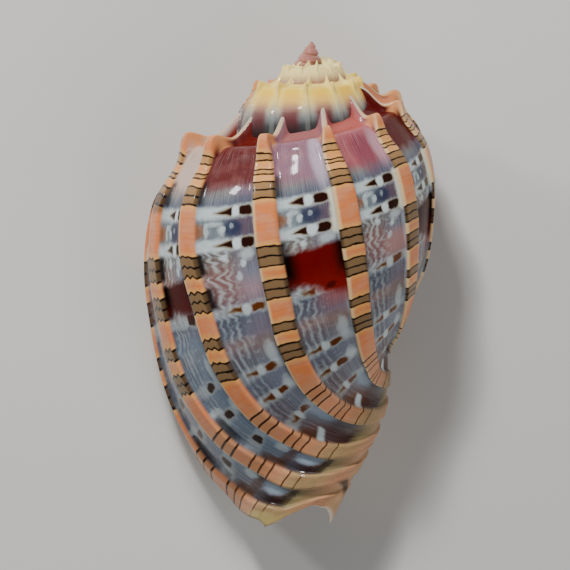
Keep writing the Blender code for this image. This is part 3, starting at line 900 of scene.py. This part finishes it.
def spire_paint(number, station, past):
    """The spire: yellow above and, between the lower ends of its ribs, dark mauve cells with grey
    rims, all darkening to near black towards the seam as painted shade under the next whorl. Its
    first whorl is cream, and brown below."""
    middle, sides = ((station / SPIRE_STATIONS).ramp(
        *((place / SPIRE_STATIONS, colour) for place, colour in colours))
        for colours in (SPIRE_MIDDLE, SPIRE_SIDES))
    cloud = vector(number * 3.0, station * 30.0).noise(1.0, 2.0)
    share = abs(number.math("FRACT") - 0.5) + (cloud - 0.5) * 0.16
    colour = share.rise(0.14, 0.38).blend(middle, sides)
    beads = abs((station * 70.0).to_nearest()).rise(0.1, 0.4) * station.fall(0.24, 0.26)
    colour = (past.fall(-0.2, 0.8) * (beads * 0.35 + 0.25)).blend(
        colour, station.rise(0.24, 0.28).blend(rgb(240, 218, 160), rgb(160, 164, 158)))
    first = number.fall(*FIRST_WHORL_ENDS)
    pale = station.rise(0.21, 0.32).blend(rgb(255, 236, 168), rgb(172, 118, 92))
    return (first * 0.8).blend(colour, pale)


def shell_material():
    """Glossy shell: the last whorl's ribs and gaps and the spire, painted by rib number and
    station, a stained glaze beside the mouth, and a pale lining."""
    material, surface = new_material("shell")
    growth, relief = attribute(material, "growth"), attribute(material, "relief")
    number, station, row = growth.parts()
    past, side, _ = relief.parts()
    wobble = (vector(number * 8.0, station * 70.0).noise(1.0, 2.0) - 0.5) * 0.006
    ribs = rib_paint(number, station, past, wobble)
    gaps, blotch = gap_paint(number, station, row)
    on_rib = past.fall(0.3, 0.7)
    young = tip_paint(number, station, on_rib.blend(gaps, ribs))
    ramp = by_gap(number.math("FLOOR"), RAMP_COLOURS)
    young = (station.fall(0.135, 0.165) * past.rise(0.5, 3.0)).blend(young, ramp)
    young = (station.fall(0.15, 0.20) * past.fall(0.5, 3.0) * station.rise(0.12, 0.15)).blend(
        young, rgb(222, 148, 96))
    lip = number.rise(*LIP_BEGINS)
    young = (lip * 0.85).blend(young, station.rise(0.2, 0.9).blend(rgb(232, 196, 158), LINING))
    outside = number.fall(*SPIRE_ENDS).blend(young, spire_paint(number, station, past))
    glaze = (number + wobble * 30.0).fall(*GLAZE_ENDS) * station.rise(*GLAZE_STATIONS)
    dark_mark = vector(number * 2.0, station * 14.0).noise(1.0, 3.0).rise(0.42, 0.60)
    outside = (glaze * 0.92).blend(outside, (dark_mark * 0.8).blend(LINING, CHESTNUT))
    colour = side.rise(0.4, 0.6).blend(outside, LINING)
    surface.take("Base Color", colour)
    surface.take("Coat Weight", (1.0 - blotch * past.rise(0.3, 0.7)) * COAT)
    grain = vector(number * 45.0, station * 14.0).noise(1.0, 3.0)
    surface.take("Normal", grain.node("ShaderNodeBump", {}, {"Height": grain, "Strength": 0.30,
                                                             "Distance": 0.0002}))
    return material


def plain_material(name, colour):
    """One colour with a faint cloud in it."""
    material, surface = new_material(name)
    place = Wire(material.node_tree.nodes.new("ShaderNodeTexCoord").outputs["Object"])
    cloud = place.noise(180.0, 3.0)
    dark, light = ((*(value * share for value in colour[:3]), 1.0) for share in (0.8, 1.12))
    surface.take("Base Color", cloud.rise(0.3, 0.7).blend(dark, light))
    surface.set(Roughness=0.25, Coat_Weight=0.4)
    return material


def show(mesh, material):
    """The mesh as a piece that stands for the shell's solid."""
    piece = bpy.data.objects.new(mesh.name, mesh)
    bpy.context.scene.collection.objects.link(piece)
    mesh.materials.append(material)
    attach(piece, "root")
    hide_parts("shell")


def make_shell():
    """All the pieces of the shell, at rest. Gives back the turn and the shift to that rest."""
    shell, callus = shell_material(), plain_material("callus", LINING)
    meshes = {
        swept_wall("last_whorl", WHORL_START, number_at(MOUTH_EDGE), 1.0, LAST_ACROSS, True): shell,
        swept_wall("inner_whorl", INNER_START, WHORL_START, 1.0, INNER_ACROSS, False): shell,
        swept_wall("spire", number_at(FIRST_EDGE), INNER_START, SPIRE_STATIONS, SPIRE_ACROSS,
                   False): shell,
        about_axis("pillar", PILLAR, PILLAR_RINGS): callus,
        about_axis("spire_foot", SPIRE_FOOT, FOOT_RINGS): callus,
        first_whorls_mesh(): plain_material("first_whorls", rgb(186, 126, 112)),
    }
    turn, shift = at_rest(list(meshes))
    for mesh, material in meshes.items():
        show(mesh, material)
    return turn, shift


def make_camera(turn, shift):
    """Camera far off that sees the shell as the photograph does: the shell's own frame tipped by
    VIEW_PITCH, turned in the picture by VIEW_ROLL, its spire's start at SPIRE_PIXEL."""
    data = bpy.data.cameras.new("camera")
    data.type = "ORTHO"
    data.ortho_scale = IMAGE / PIXELS_PER_METRE
    camera = bpy.data.objects.new("camera", data)
    bpy.context.scene.collection.objects.link(camera)
    seen = (Matrix.Rotation(math.radians(VIEW_ROLL), 4, "Z")
            @ Matrix.Rotation(math.radians(VIEW_PITCH), 4, "X"))
    to_view = seen @ turn.inverted()
    start = to_view @ Matrix.Translation(shift).to_translation()
    off_x = (SPIRE_PIXEL[0] - IMAGE / 2) / PIXELS_PER_METRE
    off_y = (IMAGE / 2 - SPIRE_PIXEL[1]) / PIXELS_PER_METRE
    place = Matrix.Translation((start.x - off_x, start.y - off_y, start.z + CAMERA_AWAY))
    camera.matrix_world = to_view.inverted() @ place
    data.clip_start, data.clip_end = CLIPPED
    bpy.context.scene.camera = camera


def soft_light(name, place, size, power, mirrored):
    """Square area light at a place, turned towards the shell, and mirrored in it or not."""
    data = bpy.data.lights.new(name, "AREA")
    data.size, data.energy = size, power
    light = bpy.data.objects.new(name, data)
    bpy.context.scene.collection.objects.link(light)
    light.location = place
    light.visible_glossy = mirrored
    light.rotation_mode = "QUATERNION"
    light.rotation_quaternion = light.location.to_track_quat("Z", "Y")


def make_stage():
    """A pale floor under the shell, and soft lamps round it."""
    mesh = bpy.data.meshes.new("floor")
    corners = [(x * FLOOR_HALF, y * FLOOR_HALF, 0) for x, y in ((-1, -1), (1, -1), (1, 1), (-1, 1))]
    mesh.from_pydata(corners, [], [(0, 1, 2, 3)])
    floor = bpy.data.objects.new("floor", mesh)
    bpy.context.scene.collection.objects.link(floor)
    material, surface = new_material("floor")
    surface.set(Base_Color=rgb(214, 212, 208), Roughness=0.8, Coat_Weight=0.0)
    mesh.materials.append(material)
    for lamp in LAMPS:
        soft_light(*lamp)
    world = bpy.data.worlds.new("studio")
    world.use_nodes = True
    background = world.node_tree.nodes["Background"]
    background.inputs["Color"].default_value = STUDIO_COLOUR
    background.inputs["Strength"].default_value = STUDIO_STRENGTH
    bpy.context.scene.world = world


make_camera(*make_shell())
make_stage()
